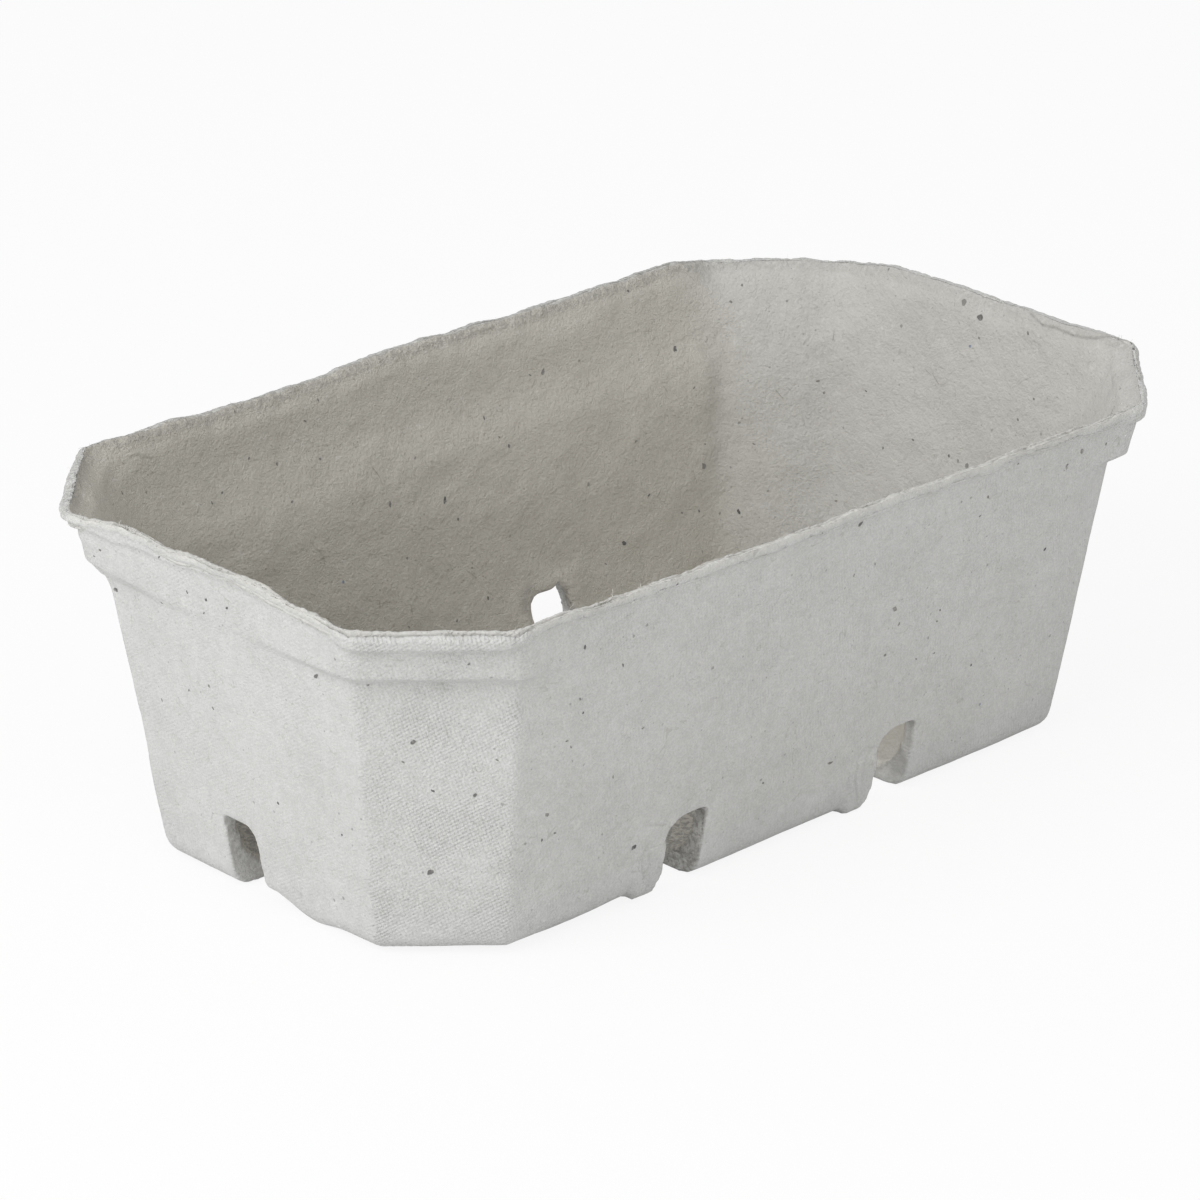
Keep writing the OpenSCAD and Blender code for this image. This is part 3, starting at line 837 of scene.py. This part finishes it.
# FLECKS
# Printed scraps of the waste paper that the pulp was made from, pressed flat into both skins. Those on
# the sides that the photograph shows are where it shows them, and others are strewn over the rest.
FLECK_SIDES = 9
FLECK_DEPTH, FLECK_PROUD = 0.22, 0.04
LARGE_MM, SMALL_MM, BLUE_MM = 0.85, 0.42, 0.4
SIZE_SPREAD = (0.8, 1.15)
# How many are strewn over the rest, the shares of small and large ones there, and the share of blue ones
UNSEEN_FLECKS = 230
SMALL_AND_LARGE, BLUE_SHARE = (0.82, 0.18), 0.04
INK, WORN_INK = (0.10, 0.10, 0.10, 1), (0.26, 0.25, 0.235, 1)
BLUE_INK, PULP_OVER = (0.20, 0.24, 0.36, 1), (0.48, 0.47, 0.44, 1)
LARGE_FLECKS = [
    (585, 647), (547, 815), (634, 847), (430, 872), (413, 742), (675, 349), (704, 466), (739, 512),
    (624, 543), (861, 523), (964, 302), (980, 317), (967, 466), (1082, 451), (895, 609), (830, 763),
    (543, 372), (390, 504), (445, 500), (116, 590), (316, 676),
]
SMALL_FLECKS = [
    (580, 699), (583, 713), (571, 747), (567, 741), (613, 777), (403, 762), (469, 664), (342, 835),
    (475, 795), (433, 791), (542, 840), (555, 833), (368, 685), (497, 760), (606, 564), (488, 598),
    (457, 621), (409, 627), (623, 665), (643, 728), (640, 274), (628, 291), (824, 393), (818, 381),
    (866, 391), (883, 448), (913, 440), (836, 501), (699, 511), (682, 513), (649, 495), (636, 441),
    (705, 444), (754, 444), (787, 301), (731, 302), (742, 285), (694, 388), (979, 338), (1028, 333),
    (949, 456), (958, 461), (1106, 444), (1067, 465), (1018, 464), (980, 516), (988, 497), (1034, 399),
    (1018, 420), (889, 269), (1045, 549), (899, 624), (937, 621), (940, 610), (928, 638), (916, 659),
    (934, 653), (885, 655), (971, 665), (875, 564), (854, 575), (763, 783), (305, 421), (318, 400),
    (530, 375), (484, 418), (415, 458), (499, 437), (509, 446), (277, 464), (249, 458), (320, 459),
    (292, 502), (458, 519), (222, 493), (212, 503), (122, 493), (100, 550), (94, 556), (159, 557),
    (162, 603), (187, 592), (206, 600), (204, 613), (227, 608), (335, 659), (189, 690), (209, 686),
    (162, 700), (213, 708), (278, 803),
]
BLUE_FLECKS = [(343, 582), (970, 346), (980, 704)]

tub_skin = BVHTree.FromObject(tub, bpy.context.evaluated_depsgraph_get())
fleck_places, fleck_normals, fleck_sizes, fleck_hues = [], [], [], []
FLECKS_SEEN = [(LARGE_FLECKS, LARGE_MM, 0.0), (SMALL_FLECKS, SMALL_MM, 0.0), (BLUE_FLECKS, BLUE_MM, 1.0)]
for places, size, hue in FLECKS_SEEN:
    for place in places:
        spot, normal, _, _ = tub_skin.ray_cast(eye, sight(*place))
        if spot:
            fleck_places.append(list(spot / MM))
            fleck_normals.append(list(normal))
            fleck_sizes.append(size * draw.uniform(*SIZE_SPREAD))
            fleck_hues.append(hue)
strewn, strewn_normals = scattered(tub, lambda centre, normal: np.ones(len(centre)), 2 * UNSEEN_FLECKS)
for spot, normal in zip(strewn, strewn_normals):
    from_eye = Vector(spot) * MM - eye
    met = tub_skin.ray_cast(eye, from_eye.normalized())[3]
    if met and met < from_eye.length - 1 * MM:
        fleck_places.append(spot)
        fleck_normals.append(normal)
        size = draw.choice((SMALL_MM, LARGE_MM), p=SMALL_AND_LARGE)
        fleck_sizes.append(size * draw.uniform(*SIZE_SPREAD))
        fleck_hues.append(float(draw.random() < BLUE_SHARE))

chip = bmesh.new()
bmesh.ops.create_cone(chip, cap_ends=True, segments=FLECK_SIDES, radius1=1, radius2=0.85, depth=1,
                      matrix=Matrix.Translation((0, 0, -0.5)))
count = len(fleck_places)
flecks, outlines = copies(chip, count, "flecks")
fleck_normals, fleck_sizes = unit(np.array(fleck_normals)), np.array(fleck_sizes)
lengthwise = unit(np.cross(fleck_normals, draw.normal(size=(count, 3))))
crosswise = np.cross(fleck_normals, lengthwise)
turn = np.arctan2(outlines[:, :, 1], outlines[:, :, 0])
corner = np.round(turn * FLECK_SIDES / (2 * math.pi)).astype(int)
bays = draw.uniform(0.6, 1.15, (count, FLECK_SIDES))
radius = fleck_sizes[:, None] * np.take_along_axis(bays, corner % FLECK_SIDES, 1)
slim = draw.uniform(0.4, 0.8, count)[:, None]
placed = (np.array(fleck_places)[:, None]
          + (outlines[:, :, 0] * radius)[:, :, None] * lengthwise[:, None]
          + (outlines[:, :, 1] * radius * slim)[:, :, None] * crosswise[:, None]
          + (outlines[:, :, 2] * FLECK_DEPTH + FLECK_PROUD)[:, :, None] * fleck_normals[:, None])
placed[:, :, 2] = np.maximum(placed[:, :, 2], 0)
flecks.data.vertices.foreach_set("co", (placed * MM).ravel())
flecks.data.update()
mark(flecks, "tint", np.repeat(draw.random(count), placed.shape[1]))
mark(flecks, "hue", np.repeat(np.array(fleck_hues), placed.shape[1]))
scrap = Finish("scraps", 0.85, 0.3)
grey = scrap.mix(scrap.attribute("tint"), INK, WORN_INK)
printed = scrap.mix(scrap.attribute("hue"), grey, BLUE_INK)
worn = scrap.noise(0.7, 41.0, 3.0).over(0.45, 0.75) * 0.6
scrap.wire("Base Color", scrap.mix(worn, printed, PULP_OVER))
scrap.bump(scrap.noise(0.5, 42.0, 2.0) * 0.1)
flecks.data.materials.append(scrap.material)
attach(flecks, "root")

# THE TABLE AND THE LIGHT
# A plain pale table top that keeps the punnet's soft shadow, a pale surround, and two broad lamps: the
# window light from the left and a weaker one from the front, as in a small daylight studio.
TABLE_HALF, TABLE_DROP = 1.5, 0.02 * MM
TABLE_GLOW = 0.88
TABLE_TOP, WHITE = (0.86, 0.86, 0.86, 1), (1, 1, 1, 1)
SURROUND_LIGHT = 0.66
table_shape = bmesh.new()
bmesh.ops.create_grid(table_shape, x_segments=1, y_segments=1, size=TABLE_HALF,
                      matrix=Matrix.Translation((0, 0, -TABLE_DROP)))
table = new_piece(table_shape, "table")
paper = Finish("table", 0.9, 0.2)
paper.shader.inputs["Base Color"].default_value = TABLE_TOP
seen = paper.node("LightPath", out="Is Camera Ray")
glow = paper.node("Emission", None, {"Color": WHITE, "Strength": 1.0})
plain = Level(paper, paper.shader.outputs[0])
blend = paper.node("MixShader", None, {0: seen * TABLE_GLOW, 1: plain, 2: glow})
paper.tree.links.new(blend.socket, paper.tree.nodes["Material Output"].inputs["Surface"])
table.data.materials.append(paper.material)

world = bpy.data.worlds.new("surround")
world.use_nodes = True
bpy.context.scene.world = world
surround = world.node_tree
backdrop = surround.nodes["Background"]
backdrop.inputs["Color"].default_value = WHITE
backdrop.inputs["Strength"].default_value = SURROUND_LIGHT
white = surround.nodes.new("ShaderNodeBackground")
white.inputs["Strength"].default_value = 1.0
rays = surround.nodes.new("ShaderNodeLightPath")
swap = surround.nodes.new("ShaderNodeMixShader")
surround.links.new(rays.outputs["Is Camera Ray"], swap.inputs[0])
surround.links.new(backdrop.outputs[0], swap.inputs[1])
surround.links.new(white.outputs[0], swap.inputs[2])
surround.links.new(swap.outputs[0], surround.nodes["World Output"].inputs["Surface"])


def lamp(name, place, size, power, colour):
    light = bpy.data.lights.new(name, "AREA")
    light.size = size
    light.energy = power
    light.color = colour
    holder = bpy.data.objects.new(name, light)
    holder.location = place
    holder.rotation_euler = Vector(place).to_track_quat("Z", "Y").to_euler()
    bpy.context.scene.collection.objects.link(holder)


lamp("window", (-0.85, 0.05, 0.62), 0.7, 5.6, (0.98, 0.99, 1.0))
lamp("front", (-0.3, -1.0, 0.7), 0.9, 1.9, (1.0, 0.995, 0.97))

bpy.context.scene.view_settings.view_transform = "Standard"
